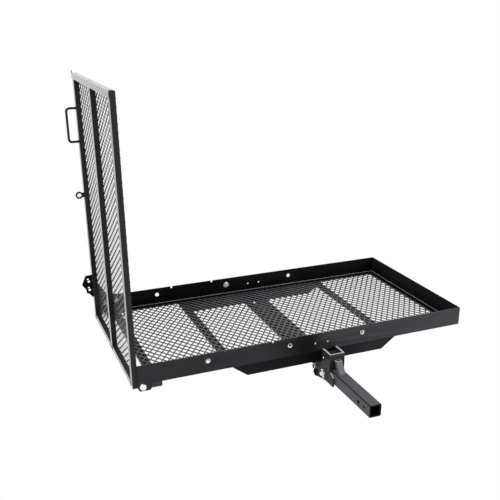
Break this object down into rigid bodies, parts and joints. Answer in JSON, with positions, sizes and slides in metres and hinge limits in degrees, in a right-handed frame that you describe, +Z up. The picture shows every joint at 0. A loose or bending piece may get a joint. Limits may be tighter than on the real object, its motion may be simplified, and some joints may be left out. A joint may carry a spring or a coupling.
{
  "type": "hitch mobility carrier",
  "caption": "Railed mesh deck on a folding arm with a square hitch shank, and a hinged mesh loading ramp raised at one end.",
  "frame": {"origin": "centre of the hitch pin hole, on the shank's axis", "axes": "+X along the deck from its ramp end to its closed end and along the hitch pin hole, +Y away from the vehicle, +Z up"},
  "size_m": [1.5117, 1.0828, 1.2052],
  "materials": {
    "black_paint": "satin powder coat",
    "charcoal_paint": "satin powder coat",
    "zinc": "zinc plated",
    "rubber": "matte"
  },
  "bodies": {
    "hitch_bar": {"shank_tube": "charcoal_paint", "hitch_bracket": "charcoal_paint", "shank_brace": "charcoal_paint", "pivot_pin": "black_paint", "pivot_keeper_screw": "zinc", "pivot_retaining_ring": "black_paint", "rest_tube": "black_paint", "clamp_bolt": "zinc", "clamp_nut": "zinc", "lock_pin": "zinc"},
    "platform": {"near_rail": "charcoal_paint", "far_rail": "black_paint", "end_rail": "black_paint", "ramp_end_cross_member": "black_paint", "middle_cross_member": "black_paint", "arm_cross_member": "black_paint", "closed_end_cross_member": "black_paint", "deck_mesh": "black_paint", "near_under_beam": "black_paint", "far_under_beam": "black_paint", "end_blocks": "rubber", "rail_bolt": "zinc", "rail_washer": "zinc", "rail_nut": "zinc", "hinge_bolts": "zinc", "hinge_washers": "zinc", "hinge_nuts": "zinc", "latch_plate": "black_paint", "latch_bolts": "zinc", "latch_nuts": "zinc", "support_arm": "black_paint", "arm_end_cap": "rubber", "arm_riser": "black_paint", "pivot_bush": "black_paint"},
    "ramp": {"ramp_near_bar": "black_paint", "ramp_middle_bar": "black_paint", "ramp_far_bar": "black_paint", "ramp_foot_bars": "black_paint", "ramp_top_bars": "black_paint", "ramp_lip": "charcoal_paint", "ramp_mesh": "black_paint", "ramp_hinge_lugs": "black_paint", "ramp_handle": "black_paint", "ramp_eye": "black_paint"},
    "clip": {"lock_clip": "zinc"}
  },
  "joints": [
    {"name": "deck_fold", "type": "hinge", "parent": "hitch_bar", "child": "platform", "pos_m": [0, 0.25, 0.0805], "axis": [1, 0, 0], "range_deg": [0, 90]},
    {"name": "ramp_hinge", "type": "hinge", "parent": "platform", "child": "ramp", "pos_m": [-0.771, 0.636, 0.076], "axis": [0, -1, 0], "range_deg": [0, 110]},
    {"name": "clip_slide", "type": "slide", "parent": "hitch_bar", "child": "clip", "axis": [0, 0.4695, 0.8829], "range_m": [0, 0.045]}
  ]
}
